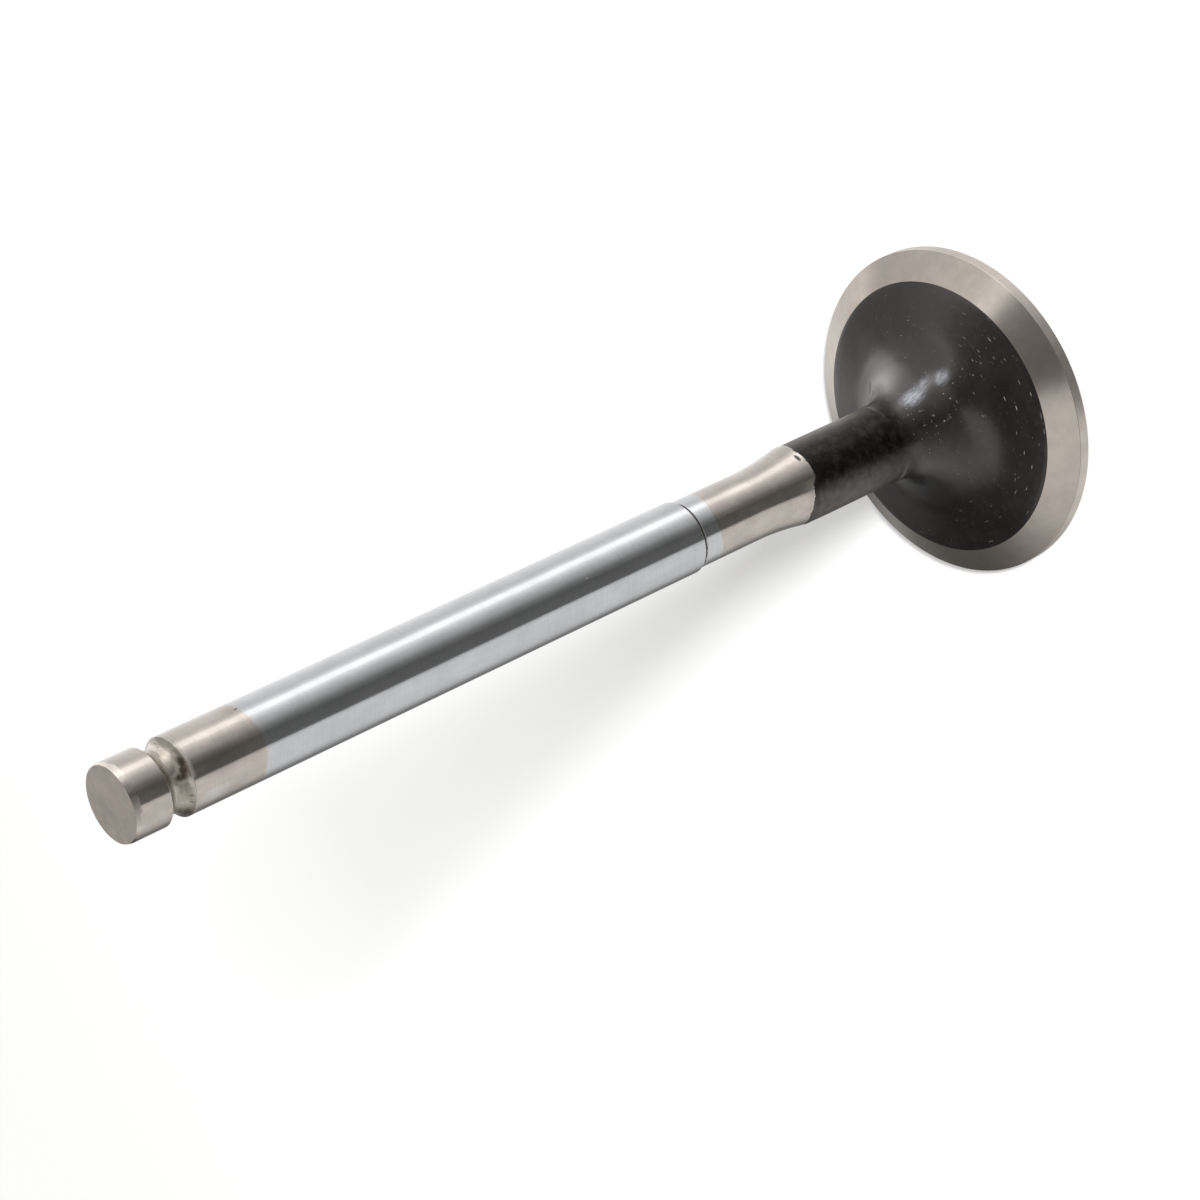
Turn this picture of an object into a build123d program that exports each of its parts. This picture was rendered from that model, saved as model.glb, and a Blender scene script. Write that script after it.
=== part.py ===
from build123d import *
import math
import os

# Poppet valve of a piston engine: one forged, turned and ground piece.
# It stands on the flat face of its head, and its stem runs up the Z axis to the tip.
# Lengths are in millimetres and angles in degrees. "Height" is measured from the flat face.

# ---- overall ----
overall_length = 130.1      # flat face of the head to the tip face
stem_dia = 8.95             # ground stem, the running fit in the valve guide

# ---- head ----
head_dia = 42.4
margin_height = 1.56        # cylindrical band between the flat face and the seat
face_edge_break = 0.1       # edge broken between the flat face and the margin
seat_width = 3.55           # ground seat face, measured along the radius
seat_angle = 30.0           # seat face, from the plane of the head
underhead_angle = 13.0      # back of the head, from the plane of the head
underhead_fillet = 9.3      # forged sweep from the back of the head into the neck

# ---- neck, flare and relief ----
root_land = 0.6             # straight forged length above the sweep
root_step = 0.12            # radial step where the turned neck starts
neck_length = 15.8          # turned neck, from the root to the foot of the flare
neck_rise = 0.755           # radius of the neck over that of the relief
flare_radius = 45.4         # long concave arc left by the grinding wheel
relief_length = 10.6        # straight part of the relief
relief_depth = 0.28         # radial step from the stem down to the relief

# ---- keeper groove and tip ----
tip_to_groove = 5.97        # tip face to the middle of the round-bottomed groove
groove_width = 3.0
groove_depth = 0.88
groove_edge_radius = 0.15   # broken edges of the groove
tip_lead_length = 0.46      # slight lead ground round the tip, along the axis
tip_lead_drop = 0.12        # the same lead, along the radius

# ---- radii ----
stem_radius = stem_dia / 2
relief_radius = stem_radius - relief_depth
neck_radius = relief_radius + neck_rise
root_radius = neck_radius + root_step
head_radius = head_dia / 2
seat_inner_radius = head_radius - seat_width
tip_face_radius = stem_radius - tip_lead_drop

# ---- heights, from the face to the shoulder ----
seat_top = margin_height + seat_width * math.tan(math.radians(seat_angle))
underhead_run = seat_inner_radius - root_radius
corner_height = seat_top + underhead_run * math.tan(math.radians(underhead_angle))
sweep_length = underhead_fillet * math.tan(math.radians((90 - underhead_angle) / 2))
root_height = corner_height + sweep_length + root_land
neck_start = root_height + root_step
flare_foot = root_height + neck_length
flare_length = math.sqrt(2 * flare_radius * neck_rise - neck_rise**2)
flare_top = flare_foot + flare_length
shoulder_height = flare_top + relief_length

# ---- heights, from the tip down ----
groove_middle = overall_length - tip_to_groove
groove_low = groove_middle - groove_width / 2
groove_high = groove_middle + groove_width / 2
lead_start = overall_length - tip_lead_length

# A point halfway round the flare's arc, whose centre lies level with the top of the flare.
half_turn = math.asin(flare_length / flare_radius) / 2
flare_mid_radius = relief_radius + flare_radius * (1 - math.cos(half_turn))
flare_mid_height = flare_top - flare_radius * math.sin(half_turn)

with BuildPart() as valve:
    with BuildSketch(Plane.XZ) as half_section:
        with BuildLine():
            # Head: flat face, margin, seat face and the back of the head.
            Line((0, 0), (head_radius - face_edge_break, 0))
            Line((head_radius - face_edge_break, 0), (head_radius, face_edge_break))
            Line((head_radius, face_edge_break), (head_radius, margin_height))
            Line((head_radius, margin_height), (seat_inner_radius, seat_top))
            Line((seat_inner_radius, seat_top), (root_radius, corner_height))
            Line((root_radius, corner_height), (root_radius, root_height))
            # Neck, flare and relief, up to the shoulder of the stem.
            Line((root_radius, root_height), (neck_radius, neck_start))
            Line((neck_radius, neck_start), (neck_radius, flare_foot))
            ThreePointArc(
                (neck_radius, flare_foot),
                (flare_mid_radius, flare_mid_height),
                (relief_radius, flare_top),
            )
            Line((relief_radius, flare_top), (relief_radius, shoulder_height))
            Line((relief_radius, shoulder_height), (stem_radius, shoulder_height))
            # Stem, keeper groove and tip.
            Line((stem_radius, shoulder_height), (stem_radius, groove_low))
            ThreePointArc(
                (stem_radius, groove_low),
                (stem_radius - groove_depth, groove_middle),
                (stem_radius, groove_high),
            )
            Line((stem_radius, groove_high), (stem_radius, lead_start))
            Line((stem_radius, lead_start), (tip_face_radius, overall_length))
            Line((tip_face_radius, overall_length), (0, overall_length))
            Line((0, overall_length), (0, 0))
        make_face()
        # The sweep under the head, and the broken edges of the groove.
        corners = half_section.vertices()
        sweep_corner = corners.sort_by_distance(Vector(root_radius, corner_height))[0]
        low_edge = corners.sort_by_distance(Vector(stem_radius, groove_low))[0]
        high_edge = corners.sort_by_distance(Vector(stem_radius, groove_high))[0]
        fillet(sweep_corner, radius=underhead_fillet)
        fillet([low_edge, high_edge], radius=groove_edge_radius)
    revolve(axis=Axis.Z)

valve.part.label = "valve"

os.makedirs("parts", exist_ok=True)
export_step(valve.part, "parts/valve.step")

print("shoulder height", round(shoulder_height, 3))
print("flare", round(flare_foot, 3), "to", round(flare_top, 3))
print("neck root", round(root_height, 3), "seat top", round(seat_top, 3))
print("plain stem length", round(groove_low - shoulder_height, 3))
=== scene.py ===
"""Looks of the engine valve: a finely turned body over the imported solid, on a pale floor in a soft studio."""

import math

import bpy
import numpy as np
from mathutils import Matrix, Vector


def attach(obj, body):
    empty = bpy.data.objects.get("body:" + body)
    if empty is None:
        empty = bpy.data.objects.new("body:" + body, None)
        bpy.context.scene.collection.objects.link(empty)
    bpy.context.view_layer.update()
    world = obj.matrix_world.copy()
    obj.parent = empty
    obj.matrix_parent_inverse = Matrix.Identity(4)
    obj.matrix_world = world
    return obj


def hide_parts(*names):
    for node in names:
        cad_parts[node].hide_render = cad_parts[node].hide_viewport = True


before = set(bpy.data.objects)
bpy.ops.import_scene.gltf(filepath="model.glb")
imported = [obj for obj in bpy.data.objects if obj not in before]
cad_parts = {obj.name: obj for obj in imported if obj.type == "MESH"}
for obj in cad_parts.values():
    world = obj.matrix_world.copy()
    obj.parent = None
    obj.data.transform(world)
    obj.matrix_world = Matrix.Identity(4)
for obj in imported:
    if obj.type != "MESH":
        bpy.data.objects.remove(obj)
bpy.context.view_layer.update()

MM = 0.001

# ---- sizes of the valve, millimetres above the flat face of the head ----
LENGTH = 130.1
STEM_R = 4.475
HEAD_R = 21.185
FACE_EDGE = 0.1
MARGIN_TOP = 1.56
SEAT_INNER_R = 17.65
SEAT_TOP = 3.61
UNDERHEAD_ANGLE = 13.0
SWEEP_R = 9.3
SWEEP_TOP = 13.9
ROOT_R = 5.07
ROOT_END = 16.5
NECK_R = 4.95
FLARE_FOOT = 30.31
FLARE_TOP = 38.557
FLARE_ARC = 45.4
RELIEF_R = 4.195
SHOULDER = 49.157
GROOVE_MIDDLE = 124.13
GROOVE_HALF = 1.5
GROOVE_DEPTH = 0.88
LEAD_START = 129.64
TIP_R = 4.355

# The soft roll where the black skin meets the seat: how far in and how high its middle and its end are.
ROLL_MIDDLE, ROLL_MIDDLE_RISE = 0.4, 0.033
ROLL_END, ROLL_RISE = 1.3, 0.06
# Where a forging die softens the change from underhead cone to sweep, by radius, and how far it spreads.
# The average over that width is bell-shaped: its ends, in such widths, and its number of points.
SOFT_FROM, SOFT_TO, SOFT_REACH = 8.0, 17.0, 0.9
BELL_END, BELL_POINTS = 1.8, 13

# ---- how finely the body is divided ----
SEGMENTS = 268
SWEEP_POINTS = 44
GROOVE_POINTS = 37
FACE_GAP = 4.0
RIM_GAP = 0.5
STEM_GAP = 4.0
LAND_GAP = 0.8
EDGE_RADIUS = 0.05
SHOULDER_RADIUS = 0.02
LEAD_RADIUS = 0.04
# Rings of the neck and relief as (from, to, gap), close together where a ragged edge runs.
NECK_RINGS = [(13.95, 15.75, 0.08), (15.9, 17.3, 0.3), (17.4, 29.0, 1.1), (29.3, 31.75, 0.055),
              (31.9, 38.5, 0.3), (38.6, 45.2, 1.1), (45.35, 46.6, 0.08), (46.9, 48.3, 0.5)]
# Close rings under the shoulder, where its painted shadow runs.
SHADOW_RINGS_FROM, SHADOW_RINGS_GAP = 48.36, 0.03
# The stretch of the stem that holds the upper edge of the plating.
PLATING_RINGS_FROM, PLATING_RINGS_TO, PLATING_RINGS_GAP = 112.8, 114.4, 0.1

# How far a corner's straight sides run at the groove, and how near to it the plain stem comes.
CORNER_RUN, STEM_CLEAR = 0.5, 0.6

# A rounded corner takes at most this share of a side. A side longer than so many reaches of the corner
# gets a support point, which lies so many reaches from the corner.
CORNER_SHARE = 0.45
ROOM_FOR_SUPPORT = 4
SUPPORT_PLACE = 1.6


# ---------------------------------------------------------------- profile

def arc_points(centre, radius, start, end, steps):
    """Points of an arc in the half plane (radius, height), angles in degrees from the radius."""
    angles = np.radians(np.linspace(start, end, steps))
    return [(centre[0] + radius * math.cos(a), centre[1] + radius * math.sin(a)) for a in angles]


def straight(start, end, gap):
    """Points from start to end, about one gap apart, with the end left out."""
    count = max(1, round(math.dist(start, end) / gap))
    return [tuple(np.array(start) + (np.array(end) - np.array(start)) * i / count) for i in range(count)]


def round_corners(points, radius, steps=3):
    """A polyline with its inner corners rounded, and a point outside each that keeps the flats flat."""
    out = [points[0]]
    for before, corner, after in zip(points, points[1:], points[2:]):
        a, b, c = (np.array(p, float) for p in (before, corner, after))
        back_length = np.linalg.norm(a - b)
        ahead_length = np.linalg.norm(c - b)
        reach = min(radius, CORNER_SHARE * back_length, CORNER_SHARE * ahead_length)
        back = (a - b) / back_length
        ahead = (c - b) / ahead_length
        if back_length > ROOM_FOR_SUPPORT * reach:
            out.append(tuple(b + back * SUPPORT_PLACE * reach))
        for i in range(steps + 1):
            t = i / steps
            bend = (1 - t) ** 2 * (b + back * reach) + 2 * t * (1 - t) * b + t * t * (b + ahead * reach)
            out.append(tuple(bend))
        if ahead_length > ROOM_FOR_SUPPORT * reach:
            out.append(tuple(b + ahead * SUPPORT_PLACE * reach))
    out.append(points[-1])
    return out


def densify(points, gap):
    """The same polyline with its long stretches divided."""
    out = []
    for a, b in zip(points, points[1:]):
        out += straight(a, b, gap)
    return out + [points[-1]]


def soften(points):
    """The back of the head with the change from cone to sweep spread over a width, by an average."""
    back = [p for p in points if p[1] > SEAT_TOP]
    known_r = [r for r, _ in reversed(back)]
    known_z = [z for _, z in reversed(back)]
    offsets = np.linspace(-BELL_END, BELL_END, BELL_POINTS)
    weights = np.exp(-offsets**2)
    out = []
    for r, z in points:
        if z > SEAT_TOP and SOFT_FROM < r < SOFT_TO:
            share = min(1.0, (r - SOFT_FROM) / SOFT_REACH, (SOFT_TO - r) / SOFT_REACH)
            near_z = np.interp(r + offsets * SOFT_REACH * share, known_r, known_z)
            z = float(np.dot(weights, near_z) / weights.sum())
        out.append((r, z))
    return out


def head_profile():
    """Flat face, margin, seat face and the back of the head, up to the root of the neck."""
    slope = math.radians(UNDERHEAD_ANGLE)
    centre_r = ROOT_R + SWEEP_R
    tangent_r = centre_r - SWEEP_R * math.sin(slope)
    tangent_z = SEAT_TOP + ROLL_RISE + (SEAT_INNER_R - tangent_r) * math.tan(slope)
    centre = (centre_r, tangent_z + SWEEP_R * math.cos(slope))
    sweep = arc_points(centre, SWEEP_R, -90 - UNDERHEAD_ANGLE, -180, SWEEP_POINTS)
    corners = [
        (HEAD_R - FACE_EDGE, 0.0),
        (HEAD_R, FACE_EDGE),
        (HEAD_R, MARGIN_TOP),
        (SEAT_INNER_R, SEAT_TOP),
        (SEAT_INNER_R - ROLL_MIDDLE, SEAT_TOP + ROLL_MIDDLE * math.tan(slope) + ROLL_MIDDLE_RISE),
        (SEAT_INNER_R - ROLL_END, SEAT_TOP + ROLL_END * math.tan(slope) + ROLL_RISE),
        sweep[0],
    ]
    face = straight((0.0, 0.0), corners[0], FACE_GAP)
    edge_start = (19.0, 0.0)
    rim = densify(round_corners([edge_start] + corners, EDGE_RADIUS), RIM_GAP)[1:]
    return face + soften(rim + [p for p in sweep[1:] if p[1] < SWEEP_TOP])


def flare_radius(z):
    """Radius of the neck, the flare or the relief at a height."""
    if z <= FLARE_FOOT:
        return NECK_R
    if z >= FLARE_TOP:
        return RELIEF_R
    return RELIEF_R + FLARE_ARC - math.sqrt(FLARE_ARC**2 - (FLARE_TOP - z) ** 2)


def neck_profile():
    """Turned neck, flare, relief and the shoulder of the stem."""
    heights = [float(z) for low, high, gap in NECK_RINGS for z in np.arange(low, high, gap)]
    neck = [(flare_radius(z) if z > ROOT_END else ROOT_R, z) for z in heights]
    shadow_heights = np.arange(SHADOW_RINGS_FROM, SHOULDER - SHADOW_RINGS_GAP, SHADOW_RINGS_GAP)
    relief = [(RELIEF_R, float(z)) for z in shadow_heights]
    corners = [relief[-1], (RELIEF_R, SHOULDER), (STEM_R, SHOULDER), (STEM_R, SHOULDER + 1)]
    return neck + relief[:-1] + round_corners(corners, SHOULDER_RADIUS, 2)


def tip_profile():
    """Stem, keeper groove, tip land, lead and tip face."""
    groove_r = (GROOVE_HALF**2 + GROOVE_DEPTH**2) / (2 * GROOVE_DEPTH)
    centre = (STEM_R - GROOVE_DEPTH + groove_r, GROOVE_MIDDLE)
    half = math.degrees(math.asin(GROOVE_HALF / groove_r))
    groove = arc_points(centre, groove_r, 180 + half, 180 - half, GROOVE_POINTS)
    low_z, high_z = groove[0][1], groove[-1][1]
    corner_low = round_corners([(STEM_R, low_z - CORNER_RUN), groove[0], groove[2]], EDGE_RADIUS)
    corner_high = round_corners([groove[-3], groove[-1], (STEM_R, high_z + CORNER_RUN)], EDGE_RADIUS)
    lead_foot = (STEM_R, LEAD_START - CORNER_RUN)
    tip = [lead_foot, (STEM_R, LEAD_START), (TIP_R, LENGTH), (TIP_R - 0.6, LENGTH)]
    stem = straight((STEM_R, SHOULDER + 2), (STEM_R, PLATING_RINGS_FROM), STEM_GAP)
    stem += straight((STEM_R, PLATING_RINGS_FROM), (STEM_R, PLATING_RINGS_TO), PLATING_RINGS_GAP)
    stem += straight((STEM_R, PLATING_RINGS_TO), (STEM_R, low_z - STEM_CLEAR), STEM_GAP / 2)
    land = straight((STEM_R, high_z + STEM_CLEAR), lead_foot, LAND_GAP)
    end = round_corners(tip, LEAD_RADIUS) + [(2.5, LENGTH), (1.2, LENGTH), (0.0, LENGTH)]
    return stem + corner_low[:-1] + groove[3:-3] + corner_high[1:] + land + end


def profile():
    """The whole half section from the middle of the face to the middle of the tip, without doubled points."""
    points = head_profile() + neck_profile() + tip_profile()
    kept = [points[0]]
    for p in points[1:]:
        if math.dist(p, kept[-1]) > 1e-4:
            kept.append(p)
    return kept


# ---------------------------------------------------------------- mesh

ZONES = ["face", "margin", "seat", "black", "turned", "groove", "tip"]
MASKS = ["oxide", "plating", "mark", "grey_sheen", "rub_and_highlight", "knock", "pale_sheen"]

# Where the ragged edges lie round the valve: (azimuth in degrees, height in millimetres).
SCALE_EDGE = [(-150, 30.9), (-110, 30.95), (-75, 31.22), (-57, 31.40), (-45, 31.24), (-34, 31.14),
              (-22, 31.02), (-12, 30.92), (-5, 30.62), (-2, 30.30), (8, 30.25), (20, 30.22), (30, 30.16),
              (49, 30.26), (62, 29.95), (75, 29.69), (100, 29.8), (140, 30.3), (180, 30.6)]
ROOT_EDGE = [(-160, 14.9), (-120, 14.6), (-89, 14.40), (-70, 14.62), (-57, 14.81), (-35, 14.75),
             (-15, 14.5), (0, 14.32), (14, 14.22), (21, 14.26), (26, 14.9), (32, 15.41), (40, 15.40),
             (48, 15.35), (58, 15.22), (67, 15.02), (89, 14.52), (120, 14.5), (150, 14.8), (180, 15.0)]
PLATING_LOW = [(-150, 45.7), (-71, 45.58), (-45, 45.95), (-27, 46.25), (3, 46.34), (25, 46.2),
               (51, 45.80), (100, 45.6), (160, 45.8)]
PLATING_HIGH = [(-150, 113.8), (-64, 113.75), (-30, 113.42), (2, 113.27), (25, 113.4), (48, 113.73),
                (100, 113.9), (160, 113.7)]
# How sharp the edge of the turned root is round the valve: 1 a clear step, 0 run out softly.
ROOT_CRISP = [(-150, 0.3), (-90, 0.9), (-64, 0.8), (-50, 0.1), (-42, 0.0), (20, 0.0), (30, 0.9),
              (62, 0.9), (80, 0.4), (120, 0.3)]
# Grey sheen painted on the black neck, by azimuth: lighter at the sides, none at the front.
NECK_SHEEN = [(-150, 0.2), (-100, 0.4), (-75, 0.9), (-50, 1.0), (-36, 0.95), (-24, 0.35), (-12, 0.0), (40, 0.0),
        (52, 0.45), (66, 1.0), (90, 0.7), (130, 0.3)]

# Spots are given as azimuth, height, length along the axis and width round it, some with a strength.
# Patches on the sweep that are rubbed, with a pale bluish painted highlight.
RUB_HIGHLIGHTS = [(38, 10.3, 4.8, 3.2, 1.0), (40, 8.7, 3.4, 2.4, 0.45), (31, 6.95, 1.9, 2.6, 0.7)]
# The side of the sweep where most knocks sit, and the patches of painted sheen beside the neck, a grey and a
# paler one.
KNOCKS = (20, 9.0, 13.0, 10.0)
SWEEP_SHEEN = (108, 9.0, 9.0, 11.0)
PALE_SHEEN = (115, 8.7, 10.0, 12.0)
# A trace of plating on the bare steel below the groove.
PLATING_TRACE = (-51, 120.4, 4.0, 2.2)
TRACE_STRENGTH = 0.6
# Dark stains and burrs at the groove.
GROOVE_MARKS = [(10, 122.95, 1.5, 4.4, 0.95), (28, 122.95, 1.5, 3.0, 0.75), (1, 123.1, 1.7, 2.4, 0.95),
                (-7, 123.5, 3.0, 2.0, 0.95), (-80, 122.95, 1.6, 3.6, 0.85), (66, 122.95, 1.3, 4.2, 0.5),
                (76.6, 123.16, 0.25, 0.6, 1.0), (62, 123.46, 0.26, 0.32, 0.9), (45, 122.8, 0.9, 2.6, 0.6)]
GROOVE_MARK_R = 4.0
# Small dark nicks on the ground steel, and the pit beside the black skin.
STEM_MARKS = [(-42.5, 43.8, 0.22, 0.26), (-26, 37.2, 0.25, 0.3), (3.6, 44.3, 0.5, 0.14),
              (-61.5, 97.7, 0.5, 0.35), (-21.4, 89.0, 0.22, 0.3), (31, 89.6, 0.5, 0.3),
              (51.6, 113.9, 0.6, 0.3), (-42.5, 115.5, 0.3, 0.22), (0.8, 117.3, 0.7, 0.12)]
PIT = (34, 30.85, 0.6, 1.5)

# Heights that bound the masks: the end of the black zone, the foot of the root and of its soft run-out, the
# sweep's foot, the top of its painted grey sheen, the foot and top of its knocks and paler painted sheen, a
# height just above the skin, and one just below the groove's stains.
BLACK_ZONE_TOP = 28.5
ROOT_LOW, ROOT_SOFT_FROM = 12.5, 12.6
SWEEP_LOW, SHEEN_TOP, SPOTS_LOW, SPOTS_TOP = 5, 14, 3, 16
SKIN_HIGH = 33
STAINS_LOW = 122
# Between these heights the neck's painted sheen sets in, and the step where the skin was cut away.
SHEEN_START = (13.0, 15.2)
SKIN_CUT_START = (27, 29.5)
# Half the width of the root's step, of the plating's two edges and of the skin's edge.
ROOT_EDGE_HALF, PLATING_LOW_HALF, PLATING_HIGH_HALF, SKIN_EDGE_HALF = 0.25, 0.1, 0.22, 0.03
# The painted shadow under the shoulder's overhang, over a shallow cut: how far down it reaches at azimuth 0,
# how much further a quarter turn away, how far it passes the shoulder, half the width of its edge, and the
# azimuths where it begins and ends.
SHADOW_REACH, SHADOW_SINK, SHADOW_OVER, SHADOW_EDGE_HALF = 0.53, 0.30, 0.015, 0.03
SHADOW_BEGINS, SHADOW_ENDS = (-76, -64), (52, 66)
# The dirt on the groove's lower edge: heights where it starts, is full, fades and ends, the azimuths where it
# begins and ends, and its mean strength, the swing about that and the most it can be.
GROOVE_DIRT = [122.72, 122.86, 123.0, 123.25]
GROOVE_DIRT_BEGINS, GROOVE_DIRT_ENDS = (-95, -60), (-32, -20)
GROOVE_DIRT_MEAN, GROOVE_DIRT_SWING, GROOVE_DIRT_MOST = 0.35, 0.3, 0.6
# The slack when a height or radius is compared with an edge.
SLACK = 0.02

# Depths of the relief, millimetres.
SKIN_CUT = 0.035
PIT_DEPTH = 0.02
SHOULDER_CRACK_DEPTH = 0.05
LEAD_CUT, LEAD_WANDER = 0.004, 0.0036


def round_table(table, azimuth):
    """The table's value at an azimuth, joined end to end round the valve."""
    turns = [a for a, _ in table]
    values = [v for _, v in table]
    return np.interp(azimuth, turns, values, period=360)


def ripple(azimuth, seed, waves, size):
    """A smooth, repeatable wander round the valve: a few sine waves with fixed random phases."""
    rng = np.random.default_rng(seed)
    out = 0.0
    for wave in waves:
        phase = rng.uniform(0, 2 * np.pi)
        out = out + math.sqrt(waves[0] / wave) * np.sin(np.radians(azimuth) * wave + phase)
    return size * out


def step(value, low, high):
    """0 below low, 1 above high, smooth between."""
    t = np.clip((value - low) / (high - low), 0, 1)
    return t * t * (3 - 2 * t)


def near(azimuth, z, spot, radius, core=0.6):
    """1 at a spot on a cylinder, falling to 0 from the core's edge, given as a share of the spot."""
    spot_azimuth, spot_z, length, width = spot
    around = np.radians((azimuth - spot_azimuth + 180) % 360 - 180) * radius
    away = np.sqrt((around / (width / 2)) ** 2 + ((z - spot_z) / (length / 2)) ** 2)
    return 1 - step(away, core, 1.0)


def zone_of(r, z):
    """Which finish the band at a radius and height has."""
    if z < FACE_EDGE / 2:
        return "face"
    if z < MARGIN_TOP - SLACK:
        return "margin"
    if z < SEAT_TOP - SLACK and r > SEAT_INNER_R - EDGE_RADIUS:
        return "seat"
    if z < BLACK_ZONE_TOP:
        return "black"
    if abs(z - GROOVE_MIDDLE) < GROOVE_HALF and r < STEM_R - SLACK:
        return "groove"
    if z < LENGTH - SLACK:
        return "turned"
    return "tip"


def root_cut(z, azimuth):
    """How far the neck is cut back from the root: a ragged step in places, a soft run-out in others."""
    edge = round_table(ROOT_EDGE, azimuth) + ripple(azimuth, 11, (9, 19, 37), 0.03)
    crisp = round_table(ROOT_CRISP, azimuth)
    sharp = step(z, edge - ROOT_EDGE_HALF, edge + ROOT_EDGE_HALF)
    soft = step(z, ROOT_SOFT_FROM, ROOT_END)
    return (ROOT_R - NECK_R) * (crisp * sharp + (1 - crisp) * soft)


def black_skin_mask(z, azimuth):
    """1 on the black forging skin, 0 above its ragged upper edge."""
    edge = round_table(SCALE_EDGE, azimuth) + ripple(azimuth, 3, (17, 31, 53, 71), 0.035)
    return 1 - step(z, edge - SKIN_EDGE_HALF, edge + SKIN_EDGE_HALF)


def plating_mask(z, azimuth):
    """1 on the hard chrome between its two wandering edges, with a trace of it below the groove."""
    low = round_table(PLATING_LOW, azimuth) + ripple(azimuth, 5, (13, 29, 47), 0.03)
    high = round_table(PLATING_HIGH, azimuth) + ripple(azimuth, 7, (11, 23, 41), 0.05)
    above = step(z, low - PLATING_LOW_HALF, low + PLATING_LOW_HALF)
    below = 1 - step(z, high - PLATING_HIGH_HALF, high + PLATING_HIGH_HALF)
    return np.maximum(above * below, TRACE_STRENGTH * near(azimuth, z, PLATING_TRACE, STEM_R))


def sheen_mask(r, z, azimuth):
    """Painted grey sheen: streaks on the neck's sides and a patch on the sweep."""
    grey_sheen = np.zeros_like(azimuth)
    if ROOT_LOW < z < SKIN_HIGH:
        grey_sheen = round_table(NECK_SHEEN, azimuth) * step(z, *SHEEN_START)
    if SWEEP_LOW < z < SHEEN_TOP:
        grey_sheen = np.maximum(grey_sheen, near(azimuth, z, SWEEP_SHEEN, r, 0.0))
    return grey_sheen


def rub_highlight_mask(r, z, azimuth):
    """Patches of the sweep that are rubbed, where a pale bluish highlight is painted."""
    rub_highlights = np.zeros_like(azimuth)
    for *spot, strength in RUB_HIGHLIGHTS:
        rub_highlights = np.maximum(rub_highlights, strength * near(azimuth, z, spot, r, 0.0))
    return rub_highlights


def shoulder_shadow(z, azimuth):
    """The dark, ragged line under the stem's shoulder: painted shadow of its overhang, over a shallow cut."""
    sunk = SHADOW_SINK * (1 - np.cos(np.radians(azimuth)))
    ragged = ripple(azimuth, 13, (23, 41, 67), 0.03) * step(-azimuth, -10, 40)
    low = SHOULDER - SHADOW_REACH - sunk + ragged
    front = step(azimuth, *SHADOW_BEGINS) * (1 - step(azimuth, *SHADOW_ENDS))
    edge = step(z, low - SHADOW_EDGE_HALF, low + SHADOW_EDGE_HALF)
    return edge * front * (z < SHOULDER + SHADOW_OVER)


def groove_stains(z, azimuth):
    """Stains and burrs in the keeper groove and the dirt on its lower edge."""
    stains = np.zeros_like(azimuth)
    for *spot, strength in GROOVE_MARKS:
        stains = np.maximum(stains, strength * near(azimuth, z, spot, GROOVE_MARK_R, 0.2))
    start, full, fading, end = GROOVE_DIRT
    band = step(z, start, full) * (1 - step(z, fading, end))
    dirt_and_shade = band * (GROOVE_DIRT_MEAN + GROOVE_DIRT_SWING * ripple(azimuth, 23, (31, 57, 83), 1.0))
    front = step(azimuth, *GROOVE_DIRT_BEGINS) * (1 - step(azimuth, *GROOVE_DIRT_ENDS))
    return np.maximum(stains, np.clip(dirt_and_shade, 0, GROOVE_DIRT_MOST) * front)


def surface(r, z, azimuth):
    """Radius and finish masks of one ring, for all azimuths."""
    radius = np.full_like(azimuth, r)
    masks = {name: np.zeros_like(azimuth) for name in MASKS}
    masks["plating"] = plating_mask(z, azimuth)
    masks["grey_sheen"] = sheen_mask(r, z, azimuth)
    if r < SEAT_INNER_R + 0.01 and z > SEAT_TOP - SLACK:
        masks["oxide"] = black_skin_mask(z, azimuth)
    if SWEEP_LOW < z < ROOT_LOW:
        masks["rub_and_highlight"] = rub_highlight_mask(r, z, azimuth)
    if SPOTS_LOW < z < SPOTS_TOP:
        masks["knock"] = near(azimuth, z, KNOCKS, r, 0.2)
        masks["pale_sheen"] = near(azimuth, z, PALE_SHEEN, r, 0.0)
    if ROOT_LOW < z <= ROOT_END:
        radius = radius - root_cut(z, azimuth)
    if ROOT_END < z < SKIN_HIGH:
        pit = near(azimuth, z, PIT, NECK_R)
        radius = radius - SKIN_CUT * masks["oxide"] * step(z, *SKIN_CUT_START) - PIT_DEPTH * pit
        masks["mark"] = pit
    # Under the shoulder: a shallow cut, and the mark that paints its shadow dark.
    if SHOULDER - 1 < z < SHOULDER + 0.5:
        dirt_and_shade = shoulder_shadow(z, azimuth)
        radius = radius - SHOULDER_CRACK_DEPTH * dirt_and_shade * (z < SHOULDER - SLACK)
        masks["mark"] = dirt_and_shade
    if z > STAINS_LOW:
        masks["mark"] = groove_stains(z, azimuth)
    if LEAD_START - 0.05 < z < LENGTH - 0.05:
        radius = radius - LEAD_CUT + ripple(azimuth, 31, (7, 19, 43), LEAD_WANDER)
    for mark in STEM_MARKS:
        if abs(z - mark[1]) < mark[2]:
            masks["mark"] = np.maximum(masks["mark"], near(azimuth, z, mark, STEM_R))
    return radius, masks


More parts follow.
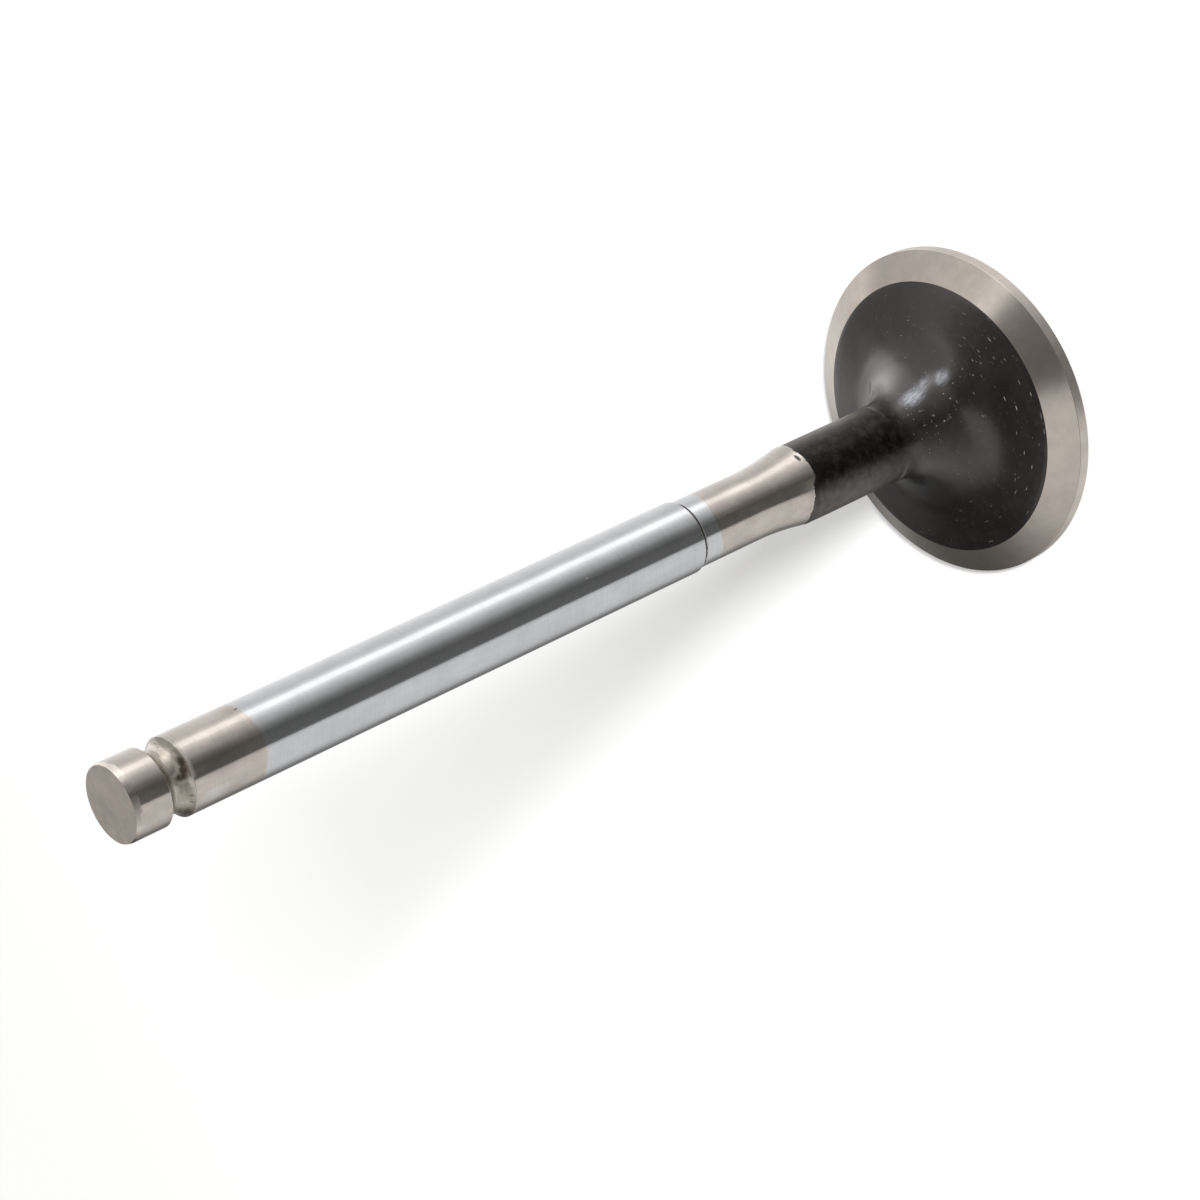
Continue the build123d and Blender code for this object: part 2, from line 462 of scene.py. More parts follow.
def lathe(points):
    """The turned body: one ring of vertices for each profile point, poles at both ends."""
    azimuth = np.linspace(-180, 180, SEGMENTS, endpoint=False)
    turn = np.radians(azimuth)
    rings = points[1:-1]
    verts = [(0, 0, points[0][1] * MM)]
    masks = {name: [0.0] for name in MASKS}
    for r, z in rings:
        radius, finish = surface(r, z, azimuth)
        ring = np.column_stack((radius * np.cos(turn), radius * np.sin(turn), np.full(SEGMENTS, z))) * MM
        verts += ring.tolist()
        for name in MASKS:
            masks[name] += finish[name].tolist()
    verts.append((0, 0, points[-1][1] * MM))
    for name in MASKS:
        masks[name].append(0.0)
    faces, zones = lathe_faces(rings, len(verts) - 1)
    mesh = bpy.data.meshes.new("valve_body")
    mesh.from_pydata(verts, [], faces)
    mesh.polygons.foreach_set("material_index", zones)
    mesh.polygons.foreach_set("use_smooth", [True] * len(faces))
    for name, values in masks.items():
        mesh.attributes.new(name, "FLOAT", "POINT").data.foreach_set("value", values)
    mesh.update()
    body = bpy.data.objects.new("valve_body", mesh)
    bpy.context.scene.collection.objects.link(body)
    return body


def lathe_faces(rings, top):
    """Faces between the rings and round both poles, with the finish that each has."""
    turns = [(i, (i + 1) % SEGMENTS) for i in range(SEGMENTS)]
    faces = [(0, 1 + j, 1 + i) for i, j in turns]
    zones = [ZONES.index("face")] * SEGMENTS
    for k, ((r0, z0), (r1, z1)) in enumerate(zip(rings, rings[1:])):
        low = 1 + k * SEGMENTS
        high = low + SEGMENTS
        faces += [(low + i, low + j, high + j, high + i) for i, j in turns]
        zones += [ZONES.index(zone_of((r0 + r1) / 2, (z0 + z1) / 2))] * SEGMENTS
    last = top - SEGMENTS
    faces += [(last + i, last + j, top) for i, j in turns]
    zones += [ZONES.index("tip")] * SEGMENTS
    return faces, zones


# ---------------------------------------------------------------- material helpers

class Nodes:
    """A small helper that adds nodes to one material or world and links them."""

    def __init__(self, owner):
        owner.use_nodes = True
        self.tree = owner.node_tree
        self.tree.nodes.clear()

    def add(self, kind, inputs=None, **settings):
        """A new node with its settings, and its inputs by name or place."""
        node = self.tree.nodes.new(kind)
        for name, value in settings.items():
            setattr(node, name, value)
        for name, value in (inputs or {}).items():
            self.put(node, name, value)
        return node

    def put(self, node, name, value):
        """Link a socket or a node's first output to an input, or write a plain value on it."""
        socket = node.inputs[name]
        if isinstance(value, bpy.types.NodeSocket):
            self.tree.links.new(value, socket)
        elif isinstance(value, bpy.types.Node):
            self.tree.links.new(value.outputs[0], socket)
        else:
            socket.default_value = value

    def math(self, operation, a, b=0.0, clamp=False):
        """One sum of one or two values."""
        return self.add("ShaderNodeMath", {0: a, 1: b}, operation=operation, use_clamp=clamp).outputs[0]

    def product(self, first, *others):
        """All the values multiplied."""
        for other in others:
            first = self.math("MULTIPLY", first, other)
        return first

    def total(self, first, *others):
        """All the values added."""
        for other in others:
            first = self.math("ADD", first, other)
        return first

    def largest(self, first, *others):
        """The largest of the values."""
        for other in others:
            first = self.math("MAXIMUM", first, other)
        return first

    def less(self, a, b):
        """The first value less the second."""
        return self.math("SUBTRACT", a, b)

    def band(self, value, low, high):
        """0 below low, 1 above high, smooth between."""
        limits = {"Value": value, "From Min": low, "From Max": high, "To Min": 0.0, "To Max": 1.0}
        return self.add("ShaderNodeMapRange", limits, interpolation_type="SMOOTHSTEP", clamp=True).outputs[0]

    def mix(self, factor, a, b):
        """Colour a where the factor is 0, b where it is 1."""
        return self.add("ShaderNodeMix", {0: factor, 6: a, 7: b}, data_type="RGBA").outputs[2]

    def blend(self, factor, a, b):
        """The same for plain numbers."""
        return self.add("ShaderNodeMix", {0: factor, 2: a, 3: b}, data_type="FLOAT").outputs[0]

    def scaled(self, colour, amount):
        """A colour made brighter or darker."""
        return self.add("ShaderNodeVectorMath", {0: colour, "Scale": amount}, operation="SCALE").outputs[0]

    def place(self, scale=1.0, offset=(0, 0, 0)):
        """Object coordinates in millimetres, stretched by a scale, which is one number or three."""
        if isinstance(scale, float):
            scale = (scale, scale, scale)
        coords = self.add("ShaderNodeTexCoord").outputs["Object"]
        node = self.add("ShaderNodeMapping", {"Vector": coords})
        node.inputs["Scale"].default_value = [s / MM for s in scale]
        node.inputs["Location"].default_value = offset
        return node.outputs[0]

    def noise(self, where, detail, rough):
        """Cloudy noise from 0 to 1, whose size is set by its place."""
        inputs = {"Vector": where, "Scale": 1.0, "Detail": detail, "Roughness": rough}
        return self.add("ShaderNodeTexNoise", inputs).outputs["Fac"]

    def mask(self, name):
        """One of the masks that the mesh carries."""
        return self.add("ShaderNodeAttribute", attribute_name=name, attribute_type="GEOMETRY").outputs["Fac"]

    def polar(self):
        """Radius, azimuth in radians and height, lengths in millimetres."""
        x, y, z = self.add("ShaderNodeSeparateXYZ", {"Vector": self.place()}).outputs
        radius = self.math("SQRT", self.total(self.product(x, x), self.product(y, y)))
        return radius, self.math("ARCTAN2", y, x), z

    def stretched(self, radial, around, axial):
        """A vector for textures, scaled along the radius, round the valve and along the axis."""
        radius, azimuth, z = self.polar()
        parts = {"X": self.product(radius, radial), "Y": self.product(azimuth, around),
                 "Z": self.product(z, axial)}
        return self.add("ShaderNodeCombineXYZ", parts).outputs[0]

    def flecks(self, where, size, share):
        """Small scattered spots: cells of a Voronoi texture, of which a share has a spot."""
        cells = self.add("ShaderNodeTexVoronoi", {"Vector": where, "Scale": 1.0, "Randomness": 1.0})
        chance = self.add("ShaderNodeSeparateColor", {"Color": cells.outputs["Color"]}).outputs
        reach = self.total(self.product(chance[1], size), 0.02)
        spot = self.math("SUBTRACT", 1.0, self.math("DIVIDE", cells.outputs["Distance"], reach), clamp=True)
        chosen = self.math("GREATER_THAN", chance[0], 1 - share)
        return self.product(self.band(spot, 0.0, 0.5), chosen, chance[2])


# ---------------------------------------------------------------- colours

CHROME = (0.66, 0.665, 0.675, 1)
STEEL = (0.61, 0.552, 0.50, 1)
SEAT = (0.54, 0.484, 0.433, 1)
MARGIN = (0.62, 0.562, 0.506, 1)
TIP = (0.66, 0.585, 0.52, 1)
OLIVE = (0.51, 0.460, 0.402, 1)
STRAW = (0.30, 0.25, 0.19, 1)
STAIN = (0.030, 0.020, 0.012, 1)
# Dark of nicks, pits and stains, and also of the painted shadow under the shoulder.
BURNT_AND_SHADE = (0.02, 0.014, 0.010, 1)

BLACK = (0.0040, 0.0028, 0.0025, 1)
BLACK_WORN = (0.008, 0.006, 0.0052, 1)
BLACK_PATCH = (0.016, 0.013, 0.0113, 1)
BLACK_MOTTLE = (0.045, 0.039, 0.035, 1)
BLACK_DEEP = (0.001, 0.0008, 0.0007, 1)
# Grey of the sheen painted on the neck's sides and the sweep.
SHEEN_GREY = (0.090, 0.083, 0.078, 1)
# Pale grey of the sheen painted beside the neck.
PALE_SHEEN_GREY = (0.20, 0.19, 0.183, 1)
KNOCKED = (0.36, 0.335, 0.31, 1)
# Pale bluish colour of the rubbed patches: a painted highlight, only partly metal.
RUBBED_HIGHLIGHT = (0.42, 0.45, 0.50, 1)
BLACK_IOR = 1.75
BLACK_TINT = (1.0, 0.95, 0.925, 1)

# The neck's skin starts and is full at these heights. Its reflections are weakened by making it part metal.
NECK_SKIN = (13.0, 15.4)
NECK_METALLIC = 0.8
# The scratch: the height of its line at azimuth 0, the line's rise per radian and half its thickness, then
# its middle and half its length, in radians, the share of it that is full, and a height above it.
SCRATCH_HEIGHT, SCRATCH_RISE, SCRATCH_HALF = 2.12, 1.80, 0.24
SCRATCH_AZIMUTH, SCRATCH_REACH = 2.30, 0.095
SCRATCH_CORE, SCRATCH_TOP = 0.65, 8.0
# The stronger mottle of the flare ends between these heights.
FLARE_MOTTLE, FLARE_MOTTLE_END = 1.7, (44.0, 46.0)
# A dark spot takes away this share of the metal's reflection.
DARK_SHARE = 0.8
# A micrometre in metres, for the depth of each finish's relief, and the black skin's relief in micrometres.
MICRON = 0.000001
SKIN_RELIEF = 15


# ---------------------------------------------------------------- finishes

def shaded(n, colour, by):
    """The colour varied by cloudy noise: darker by up to `by`, and lighter by up to 0.6 of that."""
    clouds = n.noise(n.place((0.5, 0.5, 0.25)), 4.0, 0.6)
    return n.scaled(colour[:3], n.blend(n.band(clouds, 0.3, 0.7), 1 - by, 1 + by * 0.6))


def rings(n, fineness=9.0):
    """Marks of the grinding wheel: noise that changes fast along the axis and slowly round it."""
    return n.noise(n.place((0.10, 0.10, fineness)), 3.0, 0.65)


def scratch(n):
    """A short dark scratch round the sweep behind the neck, pointed at both ends."""
    _, azimuth, z = n.polar()
    line = n.total(SCRATCH_HEIGHT, n.product(azimuth, SCRATCH_RISE))
    across = n.math("DIVIDE", n.less(z, line), SCRATCH_HALF)
    along = n.math("DIVIDE", n.less(azimuth, SCRATCH_AZIMUTH), SCRATCH_REACH)
    away = n.math("SQRT", n.total(n.product(across, across), n.product(along, along)))
    low = n.math("LESS_THAN", z, SCRATCH_TOP)
    return n.product(n.less(1.0, n.band(away, SCRATCH_CORE, 1.0)), low)


def knock_marks(n, neck):
    """Pale marks where the skin has been knocked: long flecks, small ones, chips and faint hairlines."""
    radius, azimuth, _ = n.polar()
    side = n.band(n.math("COSINE", n.total(azimuth, 0.25)), 0.45, 0.95)
    rubbing = n.product(side, n.band(radius, 9.5, 13.5))
    here_and_there = n.band(n.noise(n.place(0.16, (3.1, 0.4, 1.7)), 2.0, 0.5), 0.45, 0.65)
    handled = n.largest(rubbing, n.product(here_and_there, 0.45))
    long_flecks = n.product(n.flecks(n.stretched(3.6, 10.0, 3.6), 0.32, 0.48), handled)
    small_flecks = n.flecks(n.place(1.5, (5.3, 2.1, 0.7)), 0.12, 0.12)
    chips = n.product(n.flecks(n.place(1.9, (0.4, 6.2, 3.8)), 0.34, 0.42), n.mask("knock"))
    spots = n.largest(n.product(long_flecks, 0.9), n.product(small_flecks, 0.6), chips)
    wander = n.noise(n.place(0.4, (0.6, 3.3, 9.1)), 1.0, 0.4)
    off_line = n.product(n.math("ABSOLUTE", n.less(wander, 0.5)), 200.0)
    hairline = n.math("SUBTRACT", 1.0, off_line, clamp=True)
    short = n.band(n.noise(n.place(0.6, (8.6, 1.3, 2.1)), 1.0, 0.5), 0.60, 0.66)
    spots = n.largest(spots, n.product(hairline, short, 0.16))
    head_only = n.less(1.0, n.product(neck, 0.8))
    return n.product(spots, head_only)


def skin_colour(n, clouds, patches, neck):
    """The skin before it was knocked: cloudy black, mottled on the neck, under a grey painted sheen and a paler
    painted sheen.
    """
    colour = n.mix(n.band(clouds, 0.42, 0.72), BLACK, BLACK_WORN)
    colour = n.mix(n.product(n.band(patches, 0.5, 0.75), 0.5), colour, BLACK_PATCH)
    colour = n.mix(n.product(n.band(patches, 0.38, 0.68), neck, 0.5), colour, BLACK_MOTTLE)
    # Painted sheen: grey on the neck's sides and on a patch of the sweep.
    grey_sheen = n.product(n.mask("grey_sheen"), n.blend(n.band(patches, 0.3, 0.7), 0.65, 1.05))
    colour = n.mix(grey_sheen, colour, SHEEN_GREY)
    # A paler painted sheen beside the neck.
    return n.mix(n.mask("pale_sheen"), colour, PALE_SHEEN_GREY)


def skin_relief(n):
    """Unevenness of the skin: fine grain, faint streaks along the radius and slow swells."""
    fine = n.noise(n.place(1.6), 1.0, 0.5)
    streaks = n.noise(n.stretched(3.0, 6.0, 1.0), 1.0, 0.5)
    swells = n.noise(n.place(0.9, (2.2, 5.1, 0.3)), 1.0, 0.5)
    return n.total(n.product(fine, 0.16), n.product(streaks, 0.04), n.product(swells, 0.45))


def skin_layers(n):
    """The black forging skin: colour, metallic, roughness and relief."""
    clouds = n.noise(n.place(0.28), 5.0, 0.62)
    patches = n.noise(n.place(0.9, (2.2, 5.1, 0.3)), 4.0, 0.6)
    neck = n.band(n.polar()[2], *NECK_SKIN)
    brushed = n.blend(n.band(n.noise(n.stretched(1.2, 60.0, 1.2), 4.0, 0.65), 0.40, 0.60), 0.25, 1.0)
    # Rubbed patches: partly metal, partly a painted pale bluish highlight.
    rub_and_highlight = n.product(n.mask("rub_and_highlight"), brushed)
    dark_line = scratch(n)
    colour = n.mix(knock_marks(n, neck), skin_colour(n, clouds, patches, neck), KNOCKED)
    colour = n.mix(dark_line, n.mix(rub_and_highlight, colour, RUBBED_HIGHLIGHT), BLACK_DEEP)
    metallic = n.largest(n.product(neck, NECK_METALLIC), n.product(rub_and_highlight, 0.45), dark_line)
    rough = n.total(n.blend(n.band(clouds, 0.35, 0.65), 0.215, 0.255), n.product(neck, 0.10))
    return colour, metallic, rough, skin_relief(n)


def ground_relief(n):
    """Unevenness of a ground bar: rings, waves along it and a mottle, which is stronger on the flare."""
    ring_marks = n.product(rings(n), 0.3)
    waves = n.product(n.noise(n.place((2.6, 2.6, 0.02)), 3.0, 0.75), 2.6)
    mottle = n.product(n.noise(n.place(2.8), 3.0, 0.7), 2.6)
    flare = n.less(1.0, n.band(n.polar()[2], *FLARE_MOTTLE_END))
    mottle = n.product(mottle, n.blend(flare, 1.0, FLARE_MOTTLE))
    return n.total(ring_marks, waves, mottle)


def turned_steel(n):
    """Stem, relief, flare and tip land: hard chrome, bare ground steel beside it, black skin below."""
    oxide = n.mask("oxide")
    mark = n.mask("mark")
    black, black_metallic, black_rough, black_relief = skin_layers(n)
    ground = rings(n)
    metal = n.mix(n.mask("plating"), shaded(n, STEEL, 0.12), shaded(n, CHROME, 0.06))
    metal = n.scaled(metal, n.blend(n.band(ground, 0.3, 0.7), 0.965, 1.02))
    pits = n.flecks(n.place((0.55, 0.55, 0.30), (1.3, 7.7, 4.2)), 0.055, 0.30)
    # The mark holds nicks, the pit, stains and the painted shadow under the shoulder.
    dark = n.math("MAXIMUM", mark, n.product(pits, 0.8), clamp=True)
    colour = n.mix(oxide, n.mix(dark, metal, BURNT_AND_SHADE), n.mix(mark, black, BURNT_AND_SHADE))
    metallic = n.blend(oxide, n.less(1.0, n.product(dark, DARK_SHARE)), black_metallic)
    rough = n.blend(oxide, n.blend(ground, 0.06, 0.11), black_rough)
    relief = n.blend(oxide, ground_relief(n), n.product(black_relief, SKIN_RELIEF))
    return {"Base Color": colour, "Metallic": metallic, "Roughness": rough, "IOR": BLACK_IOR,
            "relief": (relief, MICRON)}


def groove_steel(n):
    """The keeper groove: smooth steel with a straw tint and dark stains, duller on its upper wall."""
    blotches = n.noise(n.place((1.2, 1.2, 2.5)), 4.0, 0.6)
    colour = n.mix(n.product(n.band(blotches, 0.45, 0.7), 0.35), shaded(n, OLIVE, 0.10), STRAW)
    strength = n.blend(n.band(blotches, 0.25, 0.5), 0.8, 1.05)
    stain = n.math("MULTIPLY", n.mask("mark"), strength, clamp=True)
    ground = rings(n, 4.0)
    upper_wall = n.band(n.polar()[2], GROOVE_MIDDLE + 0.2, GROOVE_MIDDLE + 0.8)
    rough = n.blend(upper_wall, n.blend(ground, 0.14, 0.24), 0.36)
    relief = n.total(n.product(ground, 0.6), n.product(blotches, 1.4))
    metallic = n.less(1.0, n.product(stain, DARK_SHARE))
    return {"Base Color": n.mix(stain, colour, STAIN), "Metallic": metallic, "Roughness": rough, "IOR": 1.5,
            "relief": (relief, 2 * MICRON)}


def black_skin(n):
    """The back of the head and the neck."""
    colour, metallic, rough, relief = skin_layers(n)
    colour = n.mix(n.mask("mark"), colour, BLACK_DEEP)
    return {"Base Color": colour, "Metallic": metallic, "Roughness": rough, "IOR": BLACK_IOR,
            "Specular Tint": BLACK_TINT, "relief": (relief, SKIN_RELIEF * MICRON)}


def margin_steel(n):
    """The margin, ground round its edge."""
    ground = rings(n, 7.0)
    rough = n.blend(ground, 0.288, 0.432)
    return {"Base Color": shaded(n, MARGIN, 0.08), "Metallic": 1.0, "Roughness": rough,
            "relief": (ground, MICRON)}


def turned_face(roughness, depth):
    """Steel of a face seen along the axis, where the tool's marks are circles."""

    def build(n):
        """The inputs of the face's shader."""
        radius = n.polar()[0]
        x, y, _ = n.add("ShaderNodeSeparateXYZ", {"Vector": n.place(0.06)}).outputs
        circles = n.add("ShaderNodeCombineXYZ", {"X": n.product(radius, 9.0), "Y": x, "Z": y}).outputs[0]
        ground = n.noise(circles, 3.0, 0.6)
        rough = n.blend(ground, roughness * 0.8, roughness * 1.2)
        return {"Base Color": shaded(n, SEAT, 0.06), "Metallic": 1.0, "Roughness": rough,
                "relief": (ground, depth)}

    return build


def tip_steel(n):
    """The tip's end face, cross ground and dull."""
    lines = n.noise(n.place((0.5, 7.0, 1.0)), 4.0, 0.6)
    return {"Base Color": shaded(n, TIP, 0.12), "Metallic": 1.0, "Roughness": n.blend(lines, 0.3, 0.45),
            "relief": (lines, 4 * MICRON)}


def finish_material(name, build, anisotropy=0.0):
    """A Principled material whose build function returns its inputs."""
    material = bpy.data.materials.new(name)
    n = Nodes(material)
    inputs = build(n)
    relief, depth = inputs.pop("relief")
    inputs["Normal"] = n.add("ShaderNodeBump", {"Height": relief, "Strength": 1.0, "Distance": depth})
    if anisotropy:
        inputs["Anisotropic"] = anisotropy
        inputs["Tangent"] = n.add("ShaderNodeTangent", direction_type="RADIAL", axis="Z")
    shader = n.add("ShaderNodeBsdfPrincipled", inputs)
    n.add("ShaderNodeOutputMaterial", {"Surface": shader})
    return material


def make_materials():
    """The finish of each zone."""
    return {
        "face": finish_material("face_steel", turned_face(0.30, 2 * MICRON)),
        "margin": finish_material("margin_steel", margin_steel),
        "seat": finish_material("seat_steel", turned_face(0.17, 1.5 * MICRON), 0.4),
        "black": finish_material("black_skin", black_skin),
        "turned": finish_material("turned_steel", turned_steel, 0.6),
        "groove": finish_material("groove_steel", groove_steel),
        "tip": finish_material("tip_steel", tip_steel),
    }


# ---------------------------------------------------------------- studio

# What the metal sees, as (azimuth in degrees, brightness) round the valve, one ring above the other. The
# stem mostly shows the low ring, the flare and the sweep show the higher ones, and every ring but the
# lowest is brightest at about 68 degrees.
FLOOR_RING = [(-180, 0.6), (-154, 0.55), (-124, 0.93), (-93, 1.0), (-62, 0.98), (-40, 0.85), (-34, 0.25),
              (-31, 0.2), (0, 0.27), (31, 0.38), (45, 0.5), (62, 0.68), (93, 0.74), (124, 0.98),
              (154, 0.97), (180, 0.8)]
LOW_RING = [(-180, 0.6), (-168, 0.34), (-154, 0.2), (-140, 0.24), (-126, 0.48), (-112, 0.68), (-98, 0.75),
            (-70, 0.79), (-44, 0.77), (-37, 0.62), (-34, 0.14), (-14, 0.13), (0, 0.115), (14, 0.22),
            (28, 0.45), (42, 0.68), (54, 1.0), (64, 1.5), (74, 1.5), (84, 0.92), (96, 0.74), (112, 0.82),
            (140, 0.95), (160, 1.0), (180, 0.62)]
UNDER_RING = [(-180, 0.03), (-176, 0.2), (-171, 0.36), (-166, 0.18), (-158, 0.13), (-138, 0.14),
              (-122, 0.45), (-100, 0.85), (-60, 0.6), (-30, 0.3), (0, 0.12), (28, 0.4), (44, 0.9),
              (56, 1.3), (62, 1.8), (74, 1.8), (80, 1.4), (105, 1.35), (120, 1.4), (138, 1.4),
              (152, 1.35), (160, 1.25), (166, 1.0), (171, 0.85), (176, 0.6), (180, 0.03)]
HORIZON_RING = [(-180, 0.3), (-171, 0.38), (-165, 0.2), (-158, 0.12), (-138, 0.14), (-122, 0.5),
                (-100, 0.85), (-60, 0.6), (-30, 0.3), (0, 0.12), (28, 0.4), (44, 0.9), (56, 1.3),
                (62, 1.5), (74, 1.5), (80, 1.35), (105, 1.35), (120, 1.4), (138, 1.25), (145, 1.1),
                (152, 0.9), (162, 0.95), (168, 1.0), (172, 1.1), (176, 0.6), (180, 0.3)]
HIGH_RING = [(-180, 0.35), (-176, 0.2), (-170, 0.08), (-150, 0.08), (-139, 0.22), (-128, 0.45),
             (-115, 0.76), (-100, 0.86), (-70, 0.6), (-56, 0.5), (0, 0.12), (44, 0.7), (55, 1.1),
             (61, 2.6), (74, 2.6), (81, 0.9), (100, 0.82), (128, 0.66), (139, 0.62), (149, 0.9),
             (160, 1.55), (171, 1.5), (176, 0.8), (180, 0.35)]
UPPER_RING = [(-180, 0.6), (-172, 0.4), (-164, 0.1), (-150, 0.08), (-139, 0.14), (-128, 0.40),
              (-115, 0.7), (-100, 0.78), (-70, 0.55), (-56, 0.45), (0, 0.12), (44, 0.7), (55, 1.1),
              (61, 2.0), (74, 2.0), (81, 0.9), (100, 0.85), (128, 0.72), (140, 0.62), (152, 0.5),
              (162, 0.42), (172, 0.46), (180, 0.6)]
# Each ring above the floor's, with the heights (z of the direction) between which it takes over.
RINGS = [(LOW_RING, -0.74, -0.66), (UNDER_RING, -0.47, -0.36), (HORIZON_RING, -0.18, -0.06),
         (HIGH_RING, 0.16, 0.30), (UPPER_RING, 0.26, 0.38)]
# The ceiling, as (y of the direction less a share of its x, brightness): a dark gap between two boxes.
CEILING = [(-1.0, 0.86), (-0.28, 0.85), (-0.2, 0.22), (-0.08, 0.155), (0.2, 0.22), (0.33, 0.28),
           (0.39, 0.35), (0.44, 1.3), (0.52, 1.2), (0.6, 0.84), (1.0, 0.8)]
CEILING_SLANT = 0.28
CEILING_EDGE = 1.3
# The heights (z of the direction) between which it takes over from the rings.
CEILING_HEIGHTS = (0.68, 0.86)

SOFT_LIGHT = (1.0, 0.985, 0.97, 1)
SOFT_STRENGTH = 0.5
WHITE = (1, 1, 1, 1)
PAPER = (0.9, 0.9, 0.9, 1)
GLOW = (0.97, 0.985, 1, 1)
# The floor's own glow near the valve and far from it, and where it fades from one to the other, metres.
GLOW_NEAR, GLOW_FAR = 0.16, 1.0
GLOW_FADE = (0.3, 1.4)
FLOOR_HALF = 3.0

LAMP_AZIMUTH, LAMP_ELEVATION = 8, 34
LAMP_DISTANCE = 3.0
LAMP_SIZE = 0.5
LAMP_POWER = 90.0
LAMP_AIM = Vector((0, 0, 0.05))


def brightness_ramp(n, value, stops, low, high):
    """A ramp through (value, brightness) stops, from low to high."""
    ramp = n.add("ShaderNodeValToRGB", {"Fac": n.math("DIVIDE", n.less(value, low), high - low)})
    elements = ramp.color_ramp.elements
    while len(elements) > 1:
        elements.remove(elements[0])
    for i, (stop, level) in enumerate(stops):
        place = (stop - low) / (high - low)
        element = elements[0] if i == 0 else elements.new(place)
        element.position = place
        element.color = (level, level, level, 1)
    return ramp.outputs["Color"]


def studio_colour(n):
    """The studio by direction: rings of brightness, one above the other, under the ceiling."""
    where = n.add("ShaderNodeTexCoord").outputs["Generated"]
    x, y, z = n.add("ShaderNodeSeparateXYZ", {"Vector": where}).outputs
    azimuth = n.product(n.math("ARCTAN2", y, x), 180 / math.pi)
    colour = brightness_ramp(n, azimuth, FLOOR_RING, -180, 180)
    for ring, start, end in RINGS:
        colour = n.mix(n.band(z, start, end), colour, brightness_ramp(n, azimuth, ring, -180, 180))
    across = n.less(y, n.product(x, CEILING_SLANT))
    ceiling = brightness_ramp(n, across, CEILING, -CEILING_EDGE, CEILING_EDGE)
    return n.mix(n.band(z, *CEILING_HEIGHTS), colour, ceiling)


def build_world():
    """Glossy rays see the studio, other rays a plain soft light, and the camera sees white."""
    world = bpy.data.worlds.new("studio")
    bpy.context.scene.world = world
    n = Nodes(world)
    rays = n.add("ShaderNodeLightPath").outputs
    soft = n.add("ShaderNodeBackground", {"Color": SOFT_LIGHT, "Strength": SOFT_STRENGTH})
    seen = n.add("ShaderNodeBackground", {"Color": studio_colour(n), "Strength": 1.0})
    white = n.add("ShaderNodeBackground", {"Color": WHITE, "Strength": 1.0})
    mixed = n.add("ShaderNodeMixShader", {0: rays["Is Glossy Ray"], 1: soft, 2: seen})
    final = n.add("ShaderNodeMixShader", {0: rays["Is Camera Ray"], 1: mixed, 2: white})
    n.add("ShaderNodeOutputWorld", {"Surface": final})
    world.cycles.sampling_method = "NONE"


def floor_material():
    """White paper to the camera, whose glow grows with distance, and nothing to glossy rays."""
    material = bpy.data.materials.new("floor_paper")
    n = Nodes(material)
    rays = n.add("ShaderNodeLightPath").outputs
    where = n.add("ShaderNodeTexCoord").outputs["Object"]
    distance = n.add("ShaderNodeVectorMath", {0: where}, operation="LENGTH").outputs["Value"]
    strength = n.blend(n.band(distance, *GLOW_FADE), GLOW_NEAR, GLOW_FAR)
    paper = n.add("ShaderNodeBsdfDiffuse", {"Color": PAPER})
    glow = n.add("ShaderNodeEmission", {"Color": GLOW, "Strength": strength})
    seen = n.add("ShaderNodeAddShader", {0: paper, 1: glow})
    lit = n.add("ShaderNodeMixShader", {0: rays["Is Camera Ray"], 1: paper, 2: seen})
    clear = n.add("ShaderNodeBsdfTransparent")
    final = n.add("ShaderNodeMixShader", {0: rays["Is Glossy Ray"], 1: lit, 2: clear})
    n.add("ShaderNodeOutputMaterial", {"Surface": final})
    return material


def build_floor():
    """A pale floor under the valve."""
    corners = [(-FLOOR_HALF, -FLOOR_HALF, 0), (FLOOR_HALF, -FLOOR_HALF, 0), (FLOOR_HALF, FLOOR_HALF, 0),
               (-FLOOR_HALF, FLOOR_HALF, 0)]
    mesh = bpy.data.meshes.new("floor")
    mesh.from_pydata(corners, [], [(0, 1, 2, 3)])
    mesh.materials.append(floor_material())
    floor = bpy.data.objects.new("floor", mesh)
    bpy.context.scene.collection.objects.link(floor)


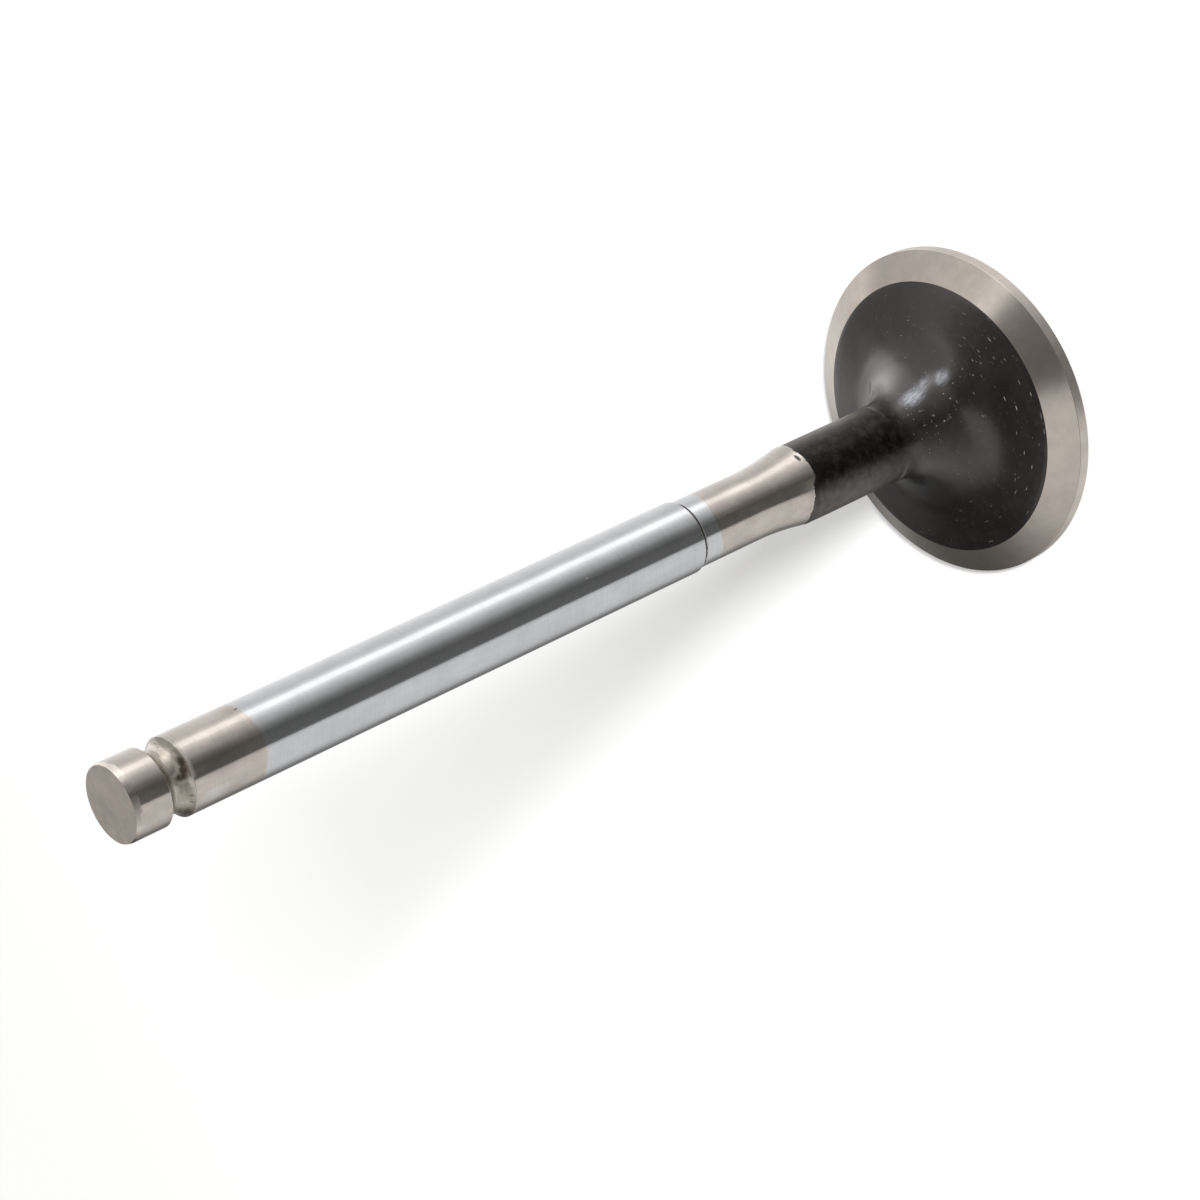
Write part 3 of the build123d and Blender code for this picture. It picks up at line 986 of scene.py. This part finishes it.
def build_lamp():
    """One soft round lamp, which throws the shadow and isn't seen in the metal."""
    light = bpy.data.lights.new("key", "AREA")
    light.shape = "DISK"
    light.size = LAMP_SIZE
    light.energy = LAMP_POWER
    lamp = bpy.data.objects.new("key", light)
    azimuth, elevation = math.radians(LAMP_AZIMUTH), math.radians(LAMP_ELEVATION)
    level = math.cos(elevation)
    toward = Vector((math.cos(azimuth) * level, math.sin(azimuth) * level, math.sin(elevation)))
    lamp.location = toward * LAMP_DISTANCE
    lamp.rotation_euler = (LAMP_AIM - lamp.location).to_track_quat("-Z", "Y").to_euler()
    lamp.visible_glossy = False
    bpy.context.scene.collection.objects.link(lamp)


# ---------------------------------------------------------------- camera

# The photograph's view: the camera is rolled so that the standing valve lies across the picture.
CAMERA_PLACE = Vector((0.28754, 0.0, 0.27591))
CAMERA_AIM = Vector((0.0, -0.00252, 0.06331))
CAMERA_ROLL = 115.42
CAMERA_LENS = 94.08
CAMERA_SENSOR = 36.0
CAMERA_CLIP = 0.01


def build_camera():
    """A camera at its place, aimed and rolled about its own axis."""
    camera = bpy.data.cameras.new("camera")
    camera.lens = CAMERA_LENS
    camera.sensor_width = CAMERA_SENSOR
    camera.clip_start = CAMERA_CLIP
    view = bpy.data.objects.new("camera", camera)
    forward = (CAMERA_AIM - CAMERA_PLACE).normalized()
    level_up = (Vector((0, 0, 1)) - forward * forward.z).normalized()
    roll = math.radians(CAMERA_ROLL)
    up = level_up * math.cos(roll) + forward.cross(level_up) * math.sin(roll)
    right = forward.cross(up)
    turn = Matrix((right, up, -forward)).transposed().to_4x4()
    view.matrix_world = Matrix.Translation(CAMERA_PLACE) @ turn
    bpy.context.scene.collection.objects.link(view)
    bpy.context.scene.camera = view


# ---------------------------------------------------------------- build

def build_valve():
    """The visual body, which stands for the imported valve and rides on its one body."""
    body = lathe(profile())
    materials = make_materials()
    for zone in ZONES:
        body.data.materials.append(materials[zone])
    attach(body, "root")
    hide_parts("valve")


build_valve()
build_floor()
build_world()
build_lamp()
build_camera()
bpy.context.scene.view_settings.view_transform = "Standard"
